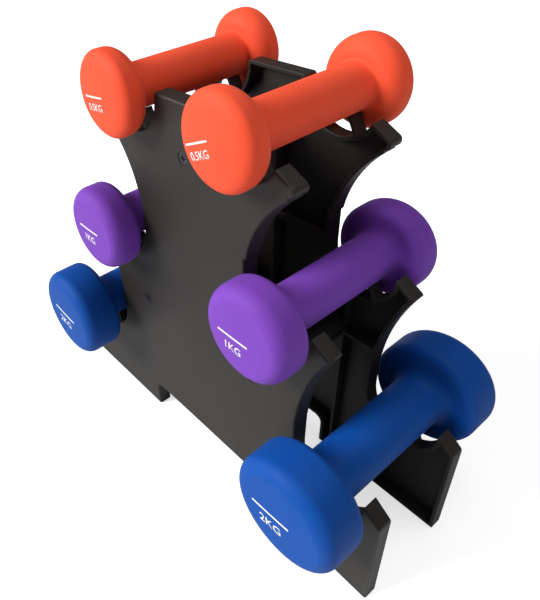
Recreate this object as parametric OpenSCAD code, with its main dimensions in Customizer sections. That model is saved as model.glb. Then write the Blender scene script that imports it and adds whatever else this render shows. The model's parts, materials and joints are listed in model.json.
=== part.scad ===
// Three-tier dumbbell rack with three pairs of coated dumbbells.
// Units are millimetres. X runs along the rack, Y along the dumbbell handles, Z is up.
// The origin is on the floor at the middle of the rack. The front side panel is at -Y.

/* [Rack] */
// Length over the two feet
rack_length = 316; // [270:1:370]
// Height of the flat top of the side panels
rack_height = 288.5; // [250:0.5:330]
// Width over the outer faces of the two side panels
rack_width = 84.5; // [76:0.5:88]

/* [Side panels] */
// Thickness of the outer plate
plate_t = 3; // [2:0.1:4]
// Thickness of the flange that follows the outline
wall_t = 2.6; // [2:0.1:3.2]
// Depth of the side panel from its outer face to its rim
panel_depth = 11; // [9:0.5:14]
// Height of the arch between the feet
arch_h = 25.5; // [18:0.5:32]
// Half width of the arch between the feet
arch_half = 57.5; // [45:0.5:64]
// Radius of the two upper corners of the arch
arch_r = 6; // [4:0.5:10]
// Radius of the ear tips
tip_r = 3.5; // [3.3:0.1:5]
// Thickness of the stiffening ribs inside the panel
rib_t = 2.2; // [1.6:0.1:3]
// Half angle between the two rest ribs of a cradle
rest_angle = 28; // [22:1:40]

/* [Cradles] */
// Radius of the upper cradles
cradle1_r = 25; // [22:0.5:27]
// Radius of the middle cradles
cradle2_r = 25; // [22:0.5:28]
// Radius of the lower cradles
cradle3_r = 26.5; // [24:0.5:30]
// Space between a resting handle and the rest ribs
rest_gap = 0.3; // [0.2:0.05:0.5]

/* [Cross tubes] */
// Outer radius of a cross tube
tube_r = 11; // [9:0.5:13]
// Wall of a cross tube
tube_wall = 1.5; // [1.2:0.1:2.5]
// Length of the plug in each end of a tube
plug_len = 12; // [9:0.5:16]
// Height of the ring that holds a tube end
socket_h = 6; // [4:0.5:7.5]

/* [Screws] */
// Shank radius of a screw
screw_r = 2; // [1.6:0.1:2.4]
// Head radius of a screw
screw_head_r = 3.9; // [3.4:0.1:4.8]
// Length of a screw
screw_len = 16; // [13:0.5:20]

/* [Small dumbbells] */
// Radius of the small heads
small_head_r = 26.1; // [24:0.1:30]
// Thickness of a small head
small_head_t = 19; // [14:0.1:20]
// Overall length of a small dumbbell
small_len = 127.5; // [126:0.5:150]
// Radius of the small handle
small_grip_r = 13.7; // [12:0.1:15.5]

/* [Medium dumbbells] */
// Radius of the medium heads
medium_head_r = 30.2; // [27:0.1:35]
// Thickness of a medium head
medium_head_t = 24.4; // [18:0.1:26]
// Overall length of a medium dumbbell
medium_len = 141; // [139:0.5:165]
// Radius of the medium handle
medium_grip_r = 14.9; // [12.5:0.1:17]

/* [Large dumbbells] */
// Radius of the large heads
large_head_r = 36.75; // [32:0.25:39]
// Thickness of a large head
large_head_t = 31.8; // [25:0.1:36]
// Overall length of a large dumbbell
large_len = 169.5; // [158:0.5:200]
// Radius of the large handle
large_grip_r = 17.5; // [15:0.1:19.5]

/* [Coating] */
// Thickness of the coating on the iron cores
coat_t = 2; // [1.5:0.1:2.4]

/* [Hidden] */
$fn = 96;

// rack outline, all tied to the rack length and height
half_len = rack_length / 2;
half_w = rack_width / 2;
kx = rack_length / 316;
kz = rack_height / 288.5;

// cradle centres
c1 = [48.6 * kx, 284.6 * kz];
c2 = [74.5 * kx, 184.4 * kz];
c3 = [119.6 * kx, 86.8 * kz];

// ears: a point on the sloping top, its angle and the furthest reach of the tip
ear1 = [71.3 * kx, 271.8 * kz];
ear2 = [100.2 * kx, 183.4 * kz];
ear3 = [144.6 * kx, 88.6 * kz];
ear1_a = 27;
ear2_a = 30;
ear3_a = 38;
tip1_x = 83.2 * kx;
tip2_x = 112.8 * kx;

// hollow arcs below the upper and the middle ears
hollow1_x = 50 * kx;
hollow1_z = 196 * kz;
hollow1_r = 80 * kx;
hollow2_x = 93 * kx;
hollow2_z = 103 * kz;
hollow2_r = 145 * kx;

// rounded corners of the flat top
top_r = 3;
top_z = rack_height - top_r;
top_x = c1[0] - sqrt(pow(cradle1_r + top_r, 2) - pow(top_z - c1[1], 2));

// cross tube places
tube_top = [0, 255 * kz];
tube_low = [55 * kx, 121.5 * kz];
tube_half = half_w - plate_t - 0.1;
socket_r = tube_r + 0.15;

// places of the upright ribs
rib_x = 66.5 * kx;
rib_top = c2[1] - 12 * kz;

screw_places = [tube_top, [-tube_low[0], tube_low[1]], tube_low];

// height of a sloping ear top at x, when everything is drawn t further in
function slope_z(p, a, x, t) = p[1] - t * cos(a) - (x - p[0] + t * sin(a)) * tan(a);

// centre of the round tip of an ear
function tip_z(p, a, x) = slope_z(p, a, x, 0) - tip_r / cos(a);

// one tier of the outline, from the middle to its ear
module tier(p, a, reach, crx, t) {
    x = reach - tip_r;
    z = tip_z(p, a, x);
    polygon([
        [-1, t],
        [x, t],
        [x, z],
        [x + (tip_r - t) * sin(a), z + (tip_r - t) * cos(a)],
        [crx, slope_z(p, a, crx, t)],
        [-1, slope_z(p, a, crx, t)]
    ]);
    translate([x, z])
        circle(r = tip_r - t);
}

// open circle of a cradle with its straight upper part towards the middle
module cradle(c, r, t) {
    translate(c)
        circle(r = r + t);
    translate([c[0] - r - t, c[1]])
        square([r + t, r + t]);
}

// right half of the side panel outline, drawn t further in all round
module half_outline(t) {
    difference() {
        union() {
            difference() {
                tier(ear1, ear1_a, tip1_x, c1[0], t);
                translate([hollow1_x + hollow1_r, hollow1_z])
                    circle(r = hollow1_r + t);
                translate([hollow1_x - t, -1])
                    square([rack_length, hollow1_z + 1]);
            }
            difference() {
                tier(ear2, ear2_a, tip2_x, c2[0], t);
                translate([hollow2_x + hollow2_r, hollow2_z])
                    circle(r = hollow2_r + t);
                translate([hollow2_x - t, -1])
                    square([rack_length, hollow2_z + 1]);
                translate([hollow1_x - t, c2[1]])
                    square([c2[0] - hollow1_x + t, rack_height]);
            }
            difference() {
                tier(ear3, ear3_a, half_len, c3[0], t);
                translate([hollow2_x - t, c3[1]])
                    square([c3[0] - hollow2_x + t, rack_height]);
            }
            translate([half_len - tip_r - 1, t])
                square([tip_r + 1 - t, tip_z(ear3, ear3_a, half_len - tip_r) - t]);
            translate([-1, t])
                square([top_x + 1, rack_height - 2 * t]);
            translate([-1, c1[1] - 20])
                square([top_x + top_r + 1 - t, top_z - c1[1] + 20]);
            translate([top_x, top_z])
                circle(r = top_r - min(t, top_r - 0.2));
        }
        translate(c1)
            circle(r = cradle1_r + t);
        cradle(c2, cradle2_r, t);
        cradle(c3, cradle3_r, t);
        // arch between the feet
        translate([-1, -1])
            square([arch_half + t - arch_r + 1, arch_h + t + 1]);
        translate([-1, -1])
            square([arch_half + t + 1, arch_h + t - arch_r + 1]);
        translate([arch_half - arch_r, arch_h - arch_r])
            circle(r = arch_r + t);
    }
}

module outline(t) {
    half_outline(t);
    mirror([1, 0])
        half_outline(t);
}

// pair of rest ribs in a cradle, cut to the handle that lies on them
module rest_pair(c, r, grip) {
    difference() {
        for (s = [-1, 1])
            translate(c)
                rotate([0, 0, s * rest_angle])
                    translate([-1.3, -r - 1])
                        square([2.6, r]);
        translate(c)
            circle(r = grip + rest_gap);
    }
}

// stiffening ribs, drawn larger than the panel and trimmed to it
module ribs() {
    for (s = [-1, 1]) {
        translate([s * rib_x - rib_t / 2, 0])
            square([rib_t, rib_top]);
        translate([s * tube_low[0] - rib_t / 2, tube_low[1]])
            square([rib_t, rib_top - tube_low[1]]);
    }
    translate([-rib_t / 2, arch_h])
        square([rib_t, tube_top[1] - arch_h]);
    translate([-half_len, tube_low[1] - rib_t / 2])
        square([rack_length, rib_t]);
    translate([-half_len, c2[1] + 2])
        square([rack_length, rib_t]);
}

// side panel, outer face on the plane y = 0 and rim towards +Y
module side_panel() {
    translate([0, panel_depth, 0])
        rotate([90, 0, 0])
            difference() {
                union() {
                    translate([0, 0, panel_depth - plate_t])
                        linear_extrude(height = plate_t)
                            outline(0);
                    linear_extrude(height = panel_depth)
                        difference() {
                            outline(0);
                            outline(wall_t);
                        }
                    translate([0, 0, 1.5])
                        linear_extrude(height = panel_depth - plate_t - 1)
                            difference() {
                                intersection() {
                                    ribs();
                                    outline(wall_t / 2);
                                }
                                for (p = screw_places)
                                    translate(p)
                                        circle(r = socket_r);
                            }
                    translate([0, 0, panel_depth - plate_t - socket_h])
                        linear_extrude(height = socket_h + 1)
                            for (p = screw_places)
                                translate(p)
                                    difference() {
                                        circle(r = socket_r + 2);
                                        circle(r = socket_r);
                                    }
                    linear_extrude(height = panel_depth - plate_t + 1)
                        for (s = [0, 1])
                            mirror([s, 0]) {
                                rest_pair(c1, cradle1_r, small_grip_r);
                                rest_pair(c2, cradle2_r, medium_grip_r);
                                rest_pair(c3, cradle3_r, large_grip_r);
                            }
                }
                // countersunk screw holes
                for (p = screw_places)
                    translate([p[0], p[1], panel_depth - plate_t - 1]) {
                        cylinder(h = plate_t + 2, r = screw_r + 0.25);
                        translate([0, 0, plate_t + 1 - (screw_head_r - screw_r) - 0.4])
                            cylinder(h = screw_head_r - screw_r, r1 = screw_r + 0.25, r2 = screw_head_r + 0.25);
                        translate([0, 0, plate_t + 0.6])
                            cylinder(h = 2, r = screw_head_r + 0.25);
                    }
            }
}

module front_panel() {
    color([0.10, 0.10, 0.11])
        translate([0, -half_w, 0])
            side_panel();
}

module back_panel() {
    color([0.10, 0.10, 0.11])
        mirror([0, 1, 0])
            translate([0, -half_w, 0])
                side_panel();
}

// cross tube between the plates at p
module cross_tube(p) {
    color([0.16, 0.16, 0.17])
        translate([p[0], tube_half, p[1]])
            rotate([90, 0, 0])
                difference() {
                    cylinder(h = 2 * tube_half, r = tube_r);
                    translate([0, 0, -1])
                        cylinder(h = 2 * tube_half + 2, r = tube_r - tube_wall);
                }
}

module tube_upper() {
    cross_tube(tube_top);
}

module tube_left() {
    cross_tube([-tube_low[0], tube_low[1]]);
}

module tube_right() {
    cross_tube(tube_low);
}

// plug pressed into a tube end, with a bore for the screw
module end_plug() {
    difference() {
        cylinder(h = plug_len, r = tube_r - tube_wall - 0.02);
        translate([0, 0, -1])
            cylinder(h = plug_len + 2, r = screw_r + 0.03);
    }
}

module plugs_front() {
    color([0.22, 0.22, 0.23])
        for (p = screw_places)
            translate([p[0], -tube_half + plug_len, p[1]])
                rotate([90, 0, 0])
                    end_plug();
}

module plugs_back() {
    color([0.22, 0.22, 0.23])
        mirror([0, 1, 0])
            for (p = screw_places)
                translate([p[0], -tube_half + plug_len, p[1]])
                    rotate([90, 0, 0])
                        end_plug();
}

// countersunk screw, head top at z = 0 and shank downwards
module screw() {
    difference() {
        union() {
            translate([0, 0, -screw_len])
                cylinder(h = screw_len, r = screw_r);
            translate([0, 0, -(screw_head_r - screw_r)])
                cylinder(h = screw_head_r - screw_r, r1 = screw_r, r2 = screw_head_r);
        }
        for (a = [0, 90])
            rotate([0, 0, a])
                translate([-screw_head_r * 0.55, -0.45, -1.4])
                    cube([screw_head_r * 1.1, 0.9, 2]);
    }
}

module screws_front() {
    color([0.55, 0.55, 0.57])
        for (p = screw_places)
            translate([p[0], -half_w + 0.4, p[1]])
                rotate([90, 0, 0])
                    screw();
}

module screws_back() {
    color([0.55, 0.55, 0.57])
        mirror([0, 1, 0])
            for (p = screw_places)
                translate([p[0], -half_w + 0.4, p[1]])
                    rotate([90, 0, 0])
                        screw();
}

// half section of a dumbbell, drawn t further in; x is the radius and y runs along the handle
module section(head_r, head_t, len, grip, t) {
    out_r = min(head_t * 0.42, 9.5) - t;
    in_r = 5.6 - t;
    neck_r = 4.5 + t;
    y1 = len / 2 - t;
    y0 = len / 2 - head_t + t;
    r = head_r - t;
    g = grip - t;
    square([g, y1]);
    difference() {
        translate([0, y0 - neck_r])
            square([g + neck_r, neck_r + 1]);
        translate([g + neck_r, y0 - neck_r])
            circle(r = neck_r);
    }
    translate([0, y0])
        square([r - out_r, y1 - y0]);
    translate([0, y0 + in_r])
        square([r, y1 - y0 - in_r - out_r]);
    translate([0, y0])
        square([r - in_r, in_r + 1]);
    translate([r - out_r, y1 - out_r])
        circle(r = out_r);
    translate([r - in_r, y0 + in_r])
        circle(r = in_r);
}

module full_section(head_r, head_t, len, grip, t) {
    section(head_r, head_t, len, grip, t);
    mirror([0, 1])
        section(head_r, head_t, len, grip, t);
}

module iron_core(head_r, head_t, len, grip) {
    rotate([90, 0, 0])
        rotate_extrude()
            full_section(head_r, head_t, len, grip, coat_t + 0.05);
}

module coating(head_r, head_t, len, grip) {
    rotate([90, 0, 0])
        rotate_extrude()
            difference() {
                full_section(head_r, head_t, len, grip, 0);
                full_section(head_r, head_t, len, grip, coat_t);
            }
}

module at_cradle(c, s) {
    translate([s * c[0], 0, c[1]])
        children();
}

module small_left_core() {
    color([0.35, 0.34, 0.33])
        at_cradle(c1, -1)
            iron_core(small_head_r, small_head_t, small_len, small_grip_r);
}

module small_left_coat() {
    color([0.95, 0.32, 0.20])
        at_cradle(c1, -1)
            coating(small_head_r, small_head_t, small_len, small_grip_r);
}

module small_right_core() {
    color([0.35, 0.34, 0.33])
        at_cradle(c1, 1)
            iron_core(small_head_r, small_head_t, small_len, small_grip_r);
}

module small_right_coat() {
    color([0.95, 0.32, 0.20])
        at_cradle(c1, 1)
            coating(small_head_r, small_head_t, small_len, small_grip_r);
}

module medium_left_core() {
    color([0.35, 0.34, 0.33])
        at_cradle(c2, -1)
            iron_core(medium_head_r, medium_head_t, medium_len, medium_grip_r);
}

module medium_left_coat() {
    color([0.45, 0.28, 0.75])
        at_cradle(c2, -1)
            coating(medium_head_r, medium_head_t, medium_len, medium_grip_r);
}

module medium_right_core() {
    color([0.35, 0.34, 0.33])
        at_cradle(c2, 1)
            iron_core(medium_head_r, medium_head_t, medium_len, medium_grip_r);
}

module medium_right_coat() {
    color([0.45, 0.28, 0.75])
        at_cradle(c2, 1)
            coating(medium_head_r, medium_head_t, medium_len, medium_grip_r);
}

module large_left_core() {
    color([0.35, 0.34, 0.33])
        at_cradle(c3, -1)
            iron_core(large_head_r, large_head_t, large_len, large_grip_r);
}

module large_left_coat() {
    color([0.10, 0.36, 0.80])
        at_cradle(c3, -1)
            coating(large_head_r, large_head_t, large_len, large_grip_r);
}

module large_right_core() {
    color([0.35, 0.34, 0.33])
        at_cradle(c3, 1)
            iron_core(large_head_r, large_head_t, large_len, large_grip_r);
}

module large_right_coat() {
    color([0.10, 0.36, 0.80])
        at_cradle(c3, 1)
            coating(large_head_r, large_head_t, large_len, large_grip_r);
}

front_panel();
back_panel();
tube_upper();
tube_left();
tube_right();
plugs_front();
plugs_back();
screws_front();
screws_back();
small_left_core();
small_left_coat();
small_right_core();
small_right_coat();
medium_left_core();
medium_left_coat();
medium_right_core();
medium_right_coat();
large_left_core();
large_left_coat();
large_right_core();
large_right_coat();
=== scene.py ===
import json
import math

import bmesh
import bpy
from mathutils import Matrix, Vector

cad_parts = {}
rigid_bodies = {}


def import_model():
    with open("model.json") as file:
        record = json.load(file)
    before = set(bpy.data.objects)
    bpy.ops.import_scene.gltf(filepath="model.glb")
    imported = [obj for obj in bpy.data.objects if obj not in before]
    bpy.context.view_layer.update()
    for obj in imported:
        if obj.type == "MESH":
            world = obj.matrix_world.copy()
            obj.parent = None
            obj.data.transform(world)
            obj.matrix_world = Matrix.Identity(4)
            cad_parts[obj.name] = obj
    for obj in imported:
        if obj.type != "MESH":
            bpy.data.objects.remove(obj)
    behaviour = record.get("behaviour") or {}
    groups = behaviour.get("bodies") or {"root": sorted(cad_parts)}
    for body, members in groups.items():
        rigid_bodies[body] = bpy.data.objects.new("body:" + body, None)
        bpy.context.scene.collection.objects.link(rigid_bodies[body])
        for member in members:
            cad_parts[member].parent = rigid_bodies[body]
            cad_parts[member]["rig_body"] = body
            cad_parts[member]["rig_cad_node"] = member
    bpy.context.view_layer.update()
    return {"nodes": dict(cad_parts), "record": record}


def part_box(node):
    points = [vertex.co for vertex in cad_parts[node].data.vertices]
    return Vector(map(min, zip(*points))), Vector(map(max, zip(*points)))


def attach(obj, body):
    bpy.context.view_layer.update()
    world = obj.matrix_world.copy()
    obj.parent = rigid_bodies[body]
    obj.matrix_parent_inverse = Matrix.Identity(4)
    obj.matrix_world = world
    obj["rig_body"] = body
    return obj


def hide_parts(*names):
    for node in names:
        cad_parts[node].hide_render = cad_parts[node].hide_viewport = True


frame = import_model()
nodes = frame["nodes"]


def deselectAll():
    if bpy.context.object and bpy.context.object.mode != "OBJECT":
        bpy.ops.object.mode_set(mode="OBJECT")
    bpy.ops.object.select_all(action="DESELECT")


def makeActive(piece):
    deselectAll()
    piece.select_set(True)
    bpy.context.view_layer.objects.active = piece


def editMode(piece):
    makeActive(piece)
    bpy.ops.object.mode_set(mode="EDIT")
    bpy.ops.mesh.select_all(action="DESELECT")


def selectEdges(piece, wanted):  # in edit mode
    bpy.ops.mesh.select_mode(type="EDGE")
    bpy.ops.mesh.select_all(action="DESELECT")
    mesh = bmesh.from_edit_mesh(piece.data)
    count = 0
    for edge in mesh.edges:
        if wanted(edge):
            edge.select_set(True)
            count += 1
    bmesh.update_edit_mesh(piece.data)
    return count


def middleOf(node):
    low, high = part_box(node)
    return (Vector(low) + Vector(high)) / 2


def sizeOf(node):
    low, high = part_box(node)
    return Vector(high) - Vector(low)


def bodyOf(node):
    return next(name for name, members in frame["record"]["behaviour"]["bodies"].items()
                if node in members)


def settle(piece):  # the place goes into the mesh and the origin to the middle of the world
    makeActive(piece)
    bpy.ops.object.transform_apply(location=True, rotation=True, scale=True)


def smooth(piece, degrees):
    makeActive(piece)
    bpy.ops.object.shade_smooth_by_angle(angle=math.radians(degrees))


def evenNormals(piece):  # keeps big flat faces flat next to their rounded edges
    makeActive(piece)
    modifier = piece.modifiers.new("evenNormals", "WEIGHTED_NORMAL")
    modifier.keep_sharp = True
    bpy.ops.object.modifier_apply(modifier=modifier.name)


class Socket:
    def __init__(self, shader, socket):
        self.shader = shader
        self.socket = socket

    def maths(self, operation, first, second):
        return self.shader.node("ShaderNodeMath", {"operation": operation}, {0: first, 1: second})

    def __add__(self, other):
        return self.maths("ADD", self, other)

    def __radd__(self, other):
        return self.maths("ADD", other, self)

    def __sub__(self, other):
        return self.maths("SUBTRACT", self, other)

    def __rsub__(self, other):
        return self.maths("SUBTRACT", other, self)

    def __mul__(self, other):
        return self.maths("MULTIPLY", self, other)

    def __rmul__(self, other):
        return self.maths("MULTIPLY", other, self)


class Shader:
    def __init__(self, name):
        self.material = bpy.data.materials.new(name)
        self.material.use_nodes = True
        self.tree = self.material.node_tree
        self.surface = self.tree.nodes["Principled BSDF"]
        self.place = self.node("ShaderNodeTexCoord", output="Object")

    def node(self, kind, settings=None, inputs=None, output=0):
        made = self.tree.nodes.new(kind)
        for key, value in (settings or {}).items():
            setattr(made, key, value)
        self.feed(made, inputs or {})
        return Socket(self, made.outputs[output])

    def feed(self, node, inputs):
        for key, value in inputs.items():
            if isinstance(value, Socket):
                self.tree.links.new(value.socket, node.inputs[key])
            else:
                node.inputs[key].default_value = value

    def noise(self, scale, detail, roughness=0.5):
        return self.node("ShaderNodeTexNoise", None, {
            "Vector": self.place, "Scale": scale, "Detail": detail, "Roughness": roughness})

    def ramp(self, factor, low, high):  # 0 below low, 1 above high
        return self.node("ShaderNodeMapRange", None, {
            "Value": factor, "From Min": low, "From Max": high})

    def blendColours(self, factor, first, second):  # first may be a colour or a socket
        start = (*first, 1) if isinstance(first, tuple) else first
        return self.node("ShaderNodeMix", {"data_type": "RGBA"}, {
            0: factor, 6: start, 7: (*second, 1)}, output=2)

    def bump(self, height, strength=1.0):  # height in metres
        return self.node("ShaderNodeBump", None, {
            "Height": height, "Distance": 1.0, "Strength": strength})

    def finish(self, values):
        self.feed(self.surface, values)
        return self.material


def dress(piece, material):
    piece.data.materials.clear()
    piece.data.materials.append(material)


coatLook = {
    "cloudScale": 26,
    "grainScale": 1500,
    "waveScale": 60,
    "scuffScale": 210,
    "scuffFrom": 0.62,  # noise level at which scuffs begin
    "scuffFull": 0.80,
    "scuffTint": 0.1,
    "roughness": 0.60,
    "cloudRoughness": 0.12,
    "scuffRoughness": 0.08,
    "grain": 0.00005,  # height of the fine grain
    "dapple": 0.0003,  # height of the slow waves of the dipped skin
    "relief": 0.6,
    "sheen": 0.015,
    "sheenRoughness": 0.5,
    "gloss": 0.15,
}
cloudLow, cloudHigh = 0.3, 0.7  # noise levels between which one shade turns into the other


def coatMaterial(name, colour, deep):
    shader = Shader(name)
    cloudy = shader.noise(coatLook["cloudScale"], 3)
    fine = shader.noise(coatLook["grainScale"], 2, 0.6)
    slow = shader.noise(coatLook["waveScale"], 1)
    scuff = shader.ramp(shader.noise(coatLook["scuffScale"], 4, 0.7),
                        coatLook["scuffFrom"], coatLook["scuffFull"])
    skin = shader.blendColours(shader.ramp(cloudy, cloudLow, cloudHigh), deep, colour)
    worn = tuple(min(1, c * 1.2 + 0.05) for c in colour)  # paler where it is scuffed
    height = fine * coatLook["grain"] + slow * coatLook["dapple"]
    return shader.finish({
        "Base Color": shader.blendColours(scuff * coatLook["scuffTint"], skin, worn),
        "Roughness": (coatLook["roughness"] + (cloudy - 0.5) * coatLook["cloudRoughness"]
                      + scuff * coatLook["scuffRoughness"]),
        "Normal": shader.bump(height, coatLook["relief"]),
        "Sheen Weight": coatLook["sheen"],
        "Sheen Roughness": coatLook["sheenRoughness"],
        "Specular IOR Level": coatLook["gloss"],
    })


coats = {  # the second colour is a deeper shade of the first
    "small": coatMaterial("orangeCoat", (0.93, 0.100, 0.040), (0.90, 0.086, 0.033)),
    "medium": coatMaterial("purpleCoat", (0.200, 0.060, 0.47), (0.180, 0.052, 0.435)),
    "large": coatMaterial("blueCoat", (0.0018, 0.074, 0.37), (0.0015, 0.065, 0.335)),
}
print("coats mixed")

panelLook = {
    "dark": (0.0170, 0.0148, 0.0120),
    "light": (0.0215, 0.0185, 0.0148),
    "dust": (0.06, 0.057, 0.052),
    "dustAmount": 0.16,
    "grainScale": 1900,
    "cloudScale": 9,
    "flowScale": 40,
    "dustScale": 420,
    "dustFrom": 0.66,  # noise level at which dust begins
    "dustFull": 0.82,
    "roughness": 0.46,
    "flowRoughness": 0.1,
    "grainRoughness": 0.05,
    "grain": 0.00005,  # height of the moulded grain
    "flow": 0.00006,  # height of the slow flow marks
    "relief": 0.7,
    "gloss": 0.34,
}


def panelMaterial():
    shader = Shader("charcoalPlastic")
    grain = shader.noise(panelLook["grainScale"], 3, 0.55)
    cloudy = shader.noise(panelLook["cloudScale"], 3)
    flow = shader.noise(panelLook["flowScale"], 2)
    dust = shader.ramp(shader.noise(panelLook["dustScale"], 5, 0.75),
                       panelLook["dustFrom"], panelLook["dustFull"])
    base = shader.blendColours(shader.ramp(cloudy, cloudLow, cloudHigh),
                               panelLook["dark"], panelLook["light"])
    return shader.finish({
        "Base Color": shader.blendColours(dust * panelLook["dustAmount"], base, panelLook["dust"]),
        "Roughness": (panelLook["roughness"] + (flow - 0.5) * panelLook["flowRoughness"]
                      + grain * panelLook["grainRoughness"]),
        "Normal": shader.bump(grain * panelLook["grain"] + flow * panelLook["flow"],
                              panelLook["relief"]),
        "Specular IOR Level": panelLook["gloss"],
    })


mottledLooks = {  # finishes that one noise varies: its scale, detail and roughness come first
    "blackPaint": {
        "noise": (700, 2, 0.5), "dark": (0.013, 0.013, 0.014), "light": (0.018, 0.018, 0.019),
        "metallic": 0, "roughness": 0.38, "spread": 0.12, "height": 0.00004,
    },
    "plugPlastic": {
        "noise": (1200, 2, 0.5), "dark": (0.030, 0.030, 0.031), "light": (0.042, 0.042, 0.043),
        "metallic": 0, "roughness": 0.5, "spread": 0.1, "height": 0.00005,
    },
    "blackZinc": {
        "noise": (900, 3, 0.5), "dark": (0.045, 0.047, 0.055), "light": (0.09, 0.09, 0.10),
        "metallic": 0.85, "roughness": 0.28, "spread": 0.2, "height": 0.00002,
    },
    "castIron": {
        "noise": (500, 5, 0.7), "dark": (0.055, 0.052, 0.048), "light": (0.12, 0.115, 0.11),
        "metallic": 0.7, "roughness": 0.6, "spread": 0.2, "height": 0.0003,
    },
    "whiteInk": {
        "noise": (1600, 2, 0.5), "dark": (0.80, 0.80, 0.80), "light": (0.90, 0.90, 0.89),
        "metallic": 0, "roughness": 0.5, "spread": 0.12, "height": 0.00002,
    },
}


def mottledMaterial(name):
    look = mottledLooks[name]
    shader = Shader(name)
    mottle = shader.noise(*look["noise"])
    return shader.finish({
        "Base Color": shader.blendColours(mottle, look["dark"], look["light"]),
        "Metallic": look["metallic"],
        "Roughness": look["roughness"] + mottle * look["spread"],
        "Normal": shader.bump(mottle * look["height"]),
    })


plastic = panelMaterial()
paint = mottledMaterial("blackPaint")
plugPlastic = mottledMaterial("plugPlastic")
screwMetal = mottledMaterial("blackZinc")
iron = mottledMaterial("castIron")
ink = mottledMaterial("whiteInk")
print("plastic, metal and ink mixed")

panelShape = {
    "outerRound": 0.00185,  # rounding of the outer edges
    "outerSteps": 5,
    "rimRound": 0.0005,
    "rimSteps": 2,
    "stepRoom": 0.0009,  # least distance between two steps of a rounded outline
    "marks": ((0.0, 0.140), (0.070, 0.259)),  # ejector marks on the outer face, x and z
    "markRadius": 0.0010,
    "markHeight": 0.00018,
    "markSides": 24,
    "markEdge": 0.9,  # share of the mark's height that its rounded edge takes
    "mergeWithin": 0.00001,
    "samePlace": 0.00002,
    "flatAngle": 0.4,  # degrees under which two faces count as one
    "clearTurn": 40,  # degrees from which an edge is rounded
    "cornerTurn": 24,  # degrees from which a step of the outline is a corner
    "cornerReach": 1.3,  # room kept beside a corner, in lengths of its rounding
    "screwRoom": 0.008,  # edges this close to a screw stay sharp
    "smoothAngle": 35,
}


def copyOfNode(node, name):
    piece = nodes[node].copy()
    piece.data = nodes[node].data.copy()
    for key in ("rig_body", "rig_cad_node"):  # the copy isn't a CAD node
        if key in piece:
            del piece[key]
    piece.parent = None
    piece.name = name
    piece.data.name = name
    bpy.context.scene.collection.objects.link(piece)
    return piece


def isRiser(edge, outer):  # an edge that goes straight down into the flange from the outer face
    first, second = (v.co for v in edge.verts)
    onFace = [abs(v.y - outer) < panelShape["samePlace"] for v in (first, second)]
    slant = math.hypot(first.x - second.x, first.z - second.z)
    return onFace[0] != onFace[1] and slant < panelShape["samePlace"] and len(edge.link_faces) == 2


def crowdedRisers(piece, outer):  # those that would leave a rounded edge no room
    mesh = bmesh.from_edit_mesh(piece.data)
    sharp = math.radians(panelShape["cornerTurn"])
    reachPerTurn = panelShape["outerRound"] * panelShape["cornerReach"]
    risers = sorted((e for e in mesh.edges if isRiser(e, outer)), key=lambda e: -e.calc_face_angle(0))
    corners = [(e.verts[0].co.x, e.verts[0].co.z, reachPerTurn * math.tan(e.calc_face_angle(0) / 2))
               for e in risers if e.is_convex and e.calc_face_angle(0) > sharp]
    kept, crowded = [], set()
    for edge in risers:
        at = edge.verts[0].co
        tight = any(math.hypot(at.x - x, at.z - z) < panelShape["stepRoom"] for x, z in kept)
        inCorner = any(math.hypot(at.x - x, at.z - z) < reach for x, z, reach in corners)
        if edge.calc_face_angle(0) < sharp and (tight or inCorner):
            crowded.add(edge.index)
        else:
            kept.append((at.x, at.z))
    return crowded


def addMark(piece, x, z, outer, side):  # small raised spot left by the mould
    deselectAll()
    bpy.ops.mesh.primitive_cylinder_add(
        vertices=panelShape["markSides"], radius=panelShape["markRadius"],
        depth=panelShape["markHeight"] * 2, location=(x, outer, z), rotation=(math.pi / 2, 0, 0))
    mark = bpy.context.object
    settle(mark)
    editMode(mark)
    tip = outer + side * panelShape["markHeight"]
    selectEdges(mark, lambda e: all(abs(v.co.y - tip) < panelShape["mergeWithin"] for v in e.verts))
    bpy.ops.mesh.bevel(offset=panelShape["markHeight"] * panelShape["markEdge"], segments=2,
                       affect="EDGES")
    bpy.ops.object.mode_set(mode="OBJECT")
    mark.data.materials.clear()
    deselectAll()
    mark.select_set(True)
    piece.select_set(True)
    bpy.context.view_layer.objects.active = piece
    bpy.ops.object.join()


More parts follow.
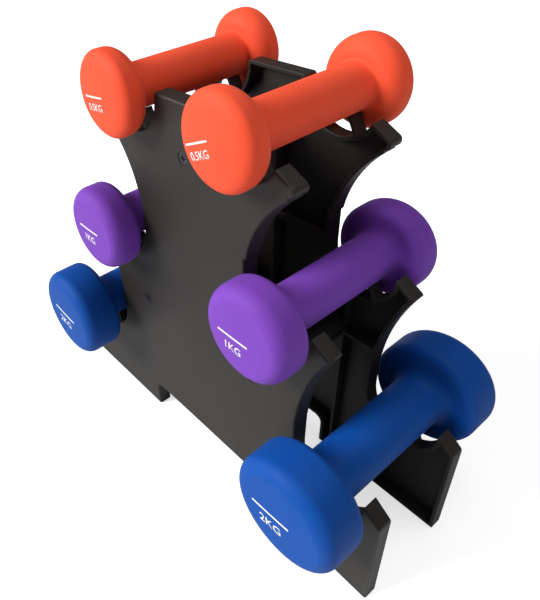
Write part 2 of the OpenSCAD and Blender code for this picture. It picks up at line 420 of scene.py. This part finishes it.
def makePanel(node, name, side):  # side is -1 for the front panel, whose outer face looks along -Y
    low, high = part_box(node)
    outer = low[1] if side < 0 else high[1]
    rim = high[1] if side < 0 else low[1]
    piece = copyOfNode(node, name)
    editMode(piece)
    bpy.ops.mesh.select_all(action="SELECT")
    bpy.ops.mesh.remove_doubles(threshold=panelShape["mergeWithin"])
    bpy.ops.mesh.dissolve_limited(angle_limit=math.radians(panelShape["flatAngle"]))
    screws = [middleOf(tube) for tube in ("tube_upper", "tube_left", "tube_right")]

    def onPlane(edge, y):
        return all(abs(v.co.y - y) < panelShape["samePlace"] for v in edge.verts)

    def nearScrew(edge):
        at = edge.verts[0].co
        return any(math.hypot(at.x - screw.x, at.z - screw.z) < panelShape["screwRoom"]
                   for screw in screws)

    def turns(edge):  # an edge between two faces that meet at a clear angle
        clear = math.radians(panelShape["clearTurn"])
        return len(edge.link_faces) == 2 and edge.calc_face_angle(0) > clear

    crowded = crowdedRisers(piece, outer)
    count = selectEdges(piece, lambda e: e.index in crowded)
    print(name, "risers taken out", count)
    bpy.ops.mesh.dissolve_edges(use_verts=True)
    count = selectEdges(piece, lambda e: onPlane(e, outer) and turns(e) and not nearScrew(e))
    print(name, "outer edges", count)
    bpy.ops.mesh.bevel(offset=panelShape["outerRound"], segments=panelShape["outerSteps"],
                       profile=0.5, affect="EDGES", clamp_overlap=False, loop_slide=False)
    count = selectEdges(piece, lambda e: onPlane(e, rim) and turns(e))
    print(name, "rim edges", count)
    bpy.ops.mesh.bevel(offset=panelShape["rimRound"], segments=panelShape["rimSteps"], profile=0.5,
                       affect="EDGES", clamp_overlap=False)
    bpy.ops.object.mode_set(mode="OBJECT")
    for x, z in panelShape["marks"]:
        addMark(piece, x, z, outer, side)
    smooth(piece, panelShape["smoothAngle"])
    evenNormals(piece)
    dress(piece, plastic)
    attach(piece, "rack")
    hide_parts(node)


makePanel("front_panel", "frontPanelShell", -1)
makePanel("back_panel", "backPanelShell", 1)
print("side panels made")

for node, material in (("tube_upper", paint), ("tube_left", paint), ("tube_right", paint),
                       ("plugs_front", plugPlastic), ("plugs_back", plugPlastic),
                       ("screws_front", screwMetal), ("screws_back", screwMetal)):
    dress(nodes[node], material)
for size in ("small", "medium", "large"):
    for side in ("left", "right"):
        dress(nodes[size + "_" + side + "_core"], iron)


dumbbells = {
    "small": {
        "grip": 0.0137, "headThickness": 0.0208, "outerRound": (0.0108, 0.0064),
        "innerRound": (0.0106, 0.0096), "neckRound": (0.0016, 0.0024), "crown": 0.0010,
        "slot": "coat_orange", "label": "0.5KG",
        "labelSize": 0.0062, "labelAcross": {"left": -0.004, "right": -0.007},
        "labelDown": {"left": 0.007, "right": 0.007}, "labelTurn": {"left": 8, "right": 24},
    },
    "medium": {
        "grip": 0.0149, "headThickness": 0.0244, "outerRound": (0.0085, 0.0095),
        "innerRound": (0.0060, 0.0060), "neckRound": (0.0070, 0.0055), "crown": 0.0005,
        "slot": "coat_purple", "label": "1KG",
        "labelSize": 0.0074, "labelAcross": {"left": -0.003, "right": -0.005},
        "labelDown": {"left": 0.007, "right": 0.009}, "labelTurn": {"left": 0, "right": 0},
    },
    "large": {
        "grip": 0.0175, "headThickness": 0.0318, "outerRound": (0.0098, 0.0088),
        "innerRound": (0.0056, 0.0056), "neckRound": (0.0075, 0.0075), "crown": 0.0005,
        "slot": "coat_blue", "label": "2KG",
        "labelSize": 0.0092, "labelAcross": {"left": -0.003, "right": -0.005},
        "labelDown": {"left": 0.008, "right": 0.010}, "labelTurn": {"left": -6, "right": 5},
    },
}
turning = {
    "steps": 128,
    "neckSteps": 9,
    "innerSteps": 10,
    "outerSteps": 14,
    "gripAt": (0, 0.12, 0.24, 0.36, 0.44),  # shares of half the length
    "flatAt": (0.33, 0.67),  # shares of the flat between neck and inner rounding
    "crownAt": (0.85, 0.7, 0.55, 0.4, 0.25, 0.1),  # shares of the crown's radius
    "mergeWithin": 0.000005,
    "smoothAngle": 40,
}
marking = {
    "inkDepth": 0.00006,
    "swell": 0.012,  # thickening of the letters, in letter heights, as the next three
    "lineRise": 1.05,
    "lineLength": 3.1,
    "lineHeight": 0.17,
    "lineParts": 12,
    "curveSteps": 6,
}


def arc(centreX, centreY, radiusX, radiusY, start, end, steps):
    points = []
    for step in range(steps + 1):
        angle = math.radians(start + (end - start) * step / steps)
        points.append((centreX + radiusX * math.cos(angle), centreY + radiusY * math.sin(angle)))
    return points


def halfProfile(shape, radius, half):
    grip = shape["grip"]
    innerX, innerY = shape["innerRound"]
    neckX, neckY = shape["neckRound"]
    roundX, roundY = shape["outerRound"]
    crown = shape["crown"]
    inside = half - shape["headThickness"]
    points = [(grip, half * t) for t in turning["gripAt"]]
    points += arc(grip + neckX, inside - neckY, neckX, neckY, 180, 90, turning["neckSteps"])
    points += [((grip + neckX) * (1 - t) + (radius - innerX) * t, inside) for t in turning["flatAt"]]
    points += arc(radius - innerX, inside + innerY, innerX, innerY, -90, 0, turning["innerSteps"])
    points += arc(radius - roundX, half - crown - roundY, roundX, roundY, 0, 90,
                  turning["outerSteps"])
    flat = radius - roundX
    points += [(flat * t, half - crown * t * t) for t in turning["crownAt"]]
    points.append((0, half))
    return points


def turned(name, points, centre):  # points are (radius, y), turned round the Y axis
    deselectAll()
    bpy.ops.mesh.primitive_plane_add(size=0.001, location=(0, 0, 0))  # merged to a point below
    piece = bpy.context.object
    piece.name = name
    piece.data.name = name
    bpy.ops.object.mode_set(mode="EDIT")
    bpy.ops.mesh.select_mode(type="VERT")
    bpy.ops.mesh.merge(type="CENTER")
    at = Vector((points[0][0], points[0][1], 0))
    bpy.ops.transform.translate(value=at)
    for radius, y in points[1:]:
        step = Vector((radius, y, 0)) - at
        bpy.ops.mesh.extrude_region_move(TRANSFORM_OT_translate={"value": step})
        at += step
    bpy.ops.mesh.select_all(action="SELECT")
    bpy.ops.mesh.spin(steps=turning["steps"], angle=math.tau, center=(0, 0, 0), axis=(0, 1, 0))
    bpy.ops.mesh.select_all(action="SELECT")
    bpy.ops.mesh.remove_doubles(threshold=turning["mergeWithin"])
    bpy.ops.mesh.normals_make_consistent(inside=False)
    bpy.ops.transform.translate(value=centre)
    bpy.ops.object.mode_set(mode="OBJECT")
    return piece


def faceDepth(shape, radius, half, reach):  # how far out the face is at a distance from its middle
    roundX, roundY = shape["outerRound"]
    flat = radius - roundX
    if reach <= flat:
        return half - shape["crown"] * (reach / flat) ** 2
    over = min(1, (reach - flat) / roundX)
    return half - shape["crown"] - roundY * (1 - math.sqrt(1 - over ** 2))


def makeLabel(name, shape, side, centre, radius, half):  # white weight mark on the front face
    height, turn = shape["labelSize"], math.radians(shape["labelTurn"][side])
    deselectAll()
    bpy.ops.object.text_add(location=(0, 0, 0))
    words = bpy.context.object
    words.data.body = shape["label"]
    words.data.size = height
    words.data.align_x = "CENTER"
    words.data.align_y = "CENTER"
    words.data.offset = height * marking["swell"]
    words.data.resolution_u = marking["curveSteps"]
    bpy.ops.object.convert(target="MESH")
    words = bpy.context.object
    bpy.ops.mesh.primitive_grid_add(x_subdivisions=marking["lineParts"], y_subdivisions=1, size=1,
                                    location=(0, height * marking["lineRise"], 0))
    line = bpy.context.object
    line.scale = (height * marking["lineLength"], height * marking["lineHeight"], 1)
    words.select_set(True)
    bpy.context.view_layer.objects.active = words
    bpy.ops.object.join()
    piece = bpy.context.object
    piece.name = name
    piece.data.name = name
    piece.rotation_euler = (math.pi / 2, -turn, 0)
    piece.location = (shape["labelAcross"][side], 0, -shape["labelDown"][side])
    settle(piece)
    editMode(piece)
    bpy.ops.mesh.select_all(action="SELECT")
    bpy.ops.mesh.extrude_region_move(
        TRANSFORM_OT_translate={"value": (0, -marking["inkDepth"], 0)})
    bpy.ops.mesh.select_all(action="SELECT")
    bpy.ops.mesh.normals_make_consistent(inside=False)
    bpy.ops.object.mode_set(mode="OBJECT")
    for point in piece.data.vertices:  # laid on the curve of the face
        reach = math.hypot(point.co.x, point.co.z)
        point.co.y -= faceDepth(shape, radius, half, reach)
        point.co += centre
    dress(piece, ink)
    return piece


for size, shape in dumbbells.items():
    for side in ("left", "right"):
        node = size + "_" + side + "_coat"
        centre = middleOf(node)
        extent = sizeOf(node)
        radius = extent.x / 2
        half = extent.y / 2 - marking["inkDepth"] * 2  # leaves room for the ink in the CAD box
        upper = halfProfile(shape, radius, half)
        lower = [(r, -y) for r, y in reversed(upper)]
        piece = turned(size + side.capitalize() + "Dumbbell", lower + upper[1:], centre)
        smooth(piece, turning["smoothAngle"])
        dress(piece, coats[size])
        body = bodyOf(node)
        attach(piece, body)
        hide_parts(node)
        label = makeLabel(size + side.capitalize() + "Mark", shape, side, centre, radius, half)
        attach(label, body)
    print(size, "dumbbells made")


studio = {
    "floorSize": 40.0,
    "floorColour": (0.93, 0.93, 0.93, 1),
    "floorRoughness": 0.8,
    "floorGlow": 0.62,  # what the camera alone sees, so that the floor stays pale
    "ambient": 0.17,
    "topPlace": (0.35, 0.15, 1.6),
    "topAim": (0, 0, 0.2),
    "topSize": 1.1,
    "topPower": 7.0,
    "keyFrom": (-0.50, -0.80, 0.50),
    "keyStrength": 3.7,
    "keySoftness": 28,  # degrees across
}


def facing(direction):  # the turn of a light that shines that way
    return direction.to_track_quat("-Z", "Y").to_euler()


deselectAll()
bpy.ops.mesh.primitive_plane_add(size=studio["floorSize"], location=(0, 0, 0))
floor = bpy.context.object
floor.name = "studioFloor"
pale = Shader("paleFloor")
glow = pale.node("ShaderNodeLightPath", output="Is Camera Ray") * studio["floorGlow"]
dress(floor, pale.finish({
    "Base Color": studio["floorColour"],
    "Roughness": studio["floorRoughness"],
    "Specular IOR Level": 0.1,
    "Emission Color": glow,
    "Emission Strength": 1.0,
}))

world = bpy.data.worlds.new("studioWorld")
bpy.context.scene.world = world
world.use_nodes = True
sky = world.node_tree
seen = sky.nodes.new("ShaderNodeLightPath").outputs["Is Camera Ray"]
level = sky.nodes.new("ShaderNodeMapRange")  # white behind the floor, softer as light
level.inputs["To Min"].default_value = studio["ambient"]
level.inputs["To Max"].default_value = 1.0
sky.links.new(seen, level.inputs["Value"])
sky.nodes["Background"].inputs["Color"].default_value = (1, 1, 1, 1)
sky.links.new(level.outputs[0], sky.nodes["Background"].inputs["Strength"])

deselectAll()
bpy.ops.object.light_add(type="SUN", location=[2 * v for v in studio["keyFrom"]])
key = bpy.context.object
key.name = "keyLight"
key.data.energy = studio["keyStrength"]
key.data.angle = math.radians(studio["keySoftness"])
key.rotation_euler = facing(-Vector(studio["keyFrom"]))

deselectAll()
bpy.ops.object.light_add(type="AREA", location=studio["topPlace"])
top = bpy.context.object
top.name = "topLight"
top.data.shape = "DISK"
top.data.size = studio["topSize"]
top.data.energy = studio["topPower"]
top.rotation_euler = facing(Vector(studio["topAim"]) - Vector(studio["topPlace"]))

cameraSetup = {
    "place": (0.24349, -0.22560, 0.40119),
    "angles": (54.3655, 4.3632, 51.9390),
    "lens": 35.36,
    "sensor": 36,
    "shift": (0.162, -0.062),
    "nearest": 0.01,
}
bpy.ops.object.camera_add(location=cameraSetup["place"],
                          rotation=[math.radians(a) for a in cameraSetup["angles"]])
camera = bpy.context.object
camera.name = "studioCamera"
camera.data.sensor_width = cameraSetup["sensor"]
camera.data.lens = cameraSetup["lens"]
camera.data.shift_x, camera.data.shift_y = cameraSetup["shift"]
camera.data.clip_start = cameraSetup["nearest"]
bpy.context.scene.camera = camera
bpy.context.scene.view_settings.view_transform = "Standard"

print("scene ready")
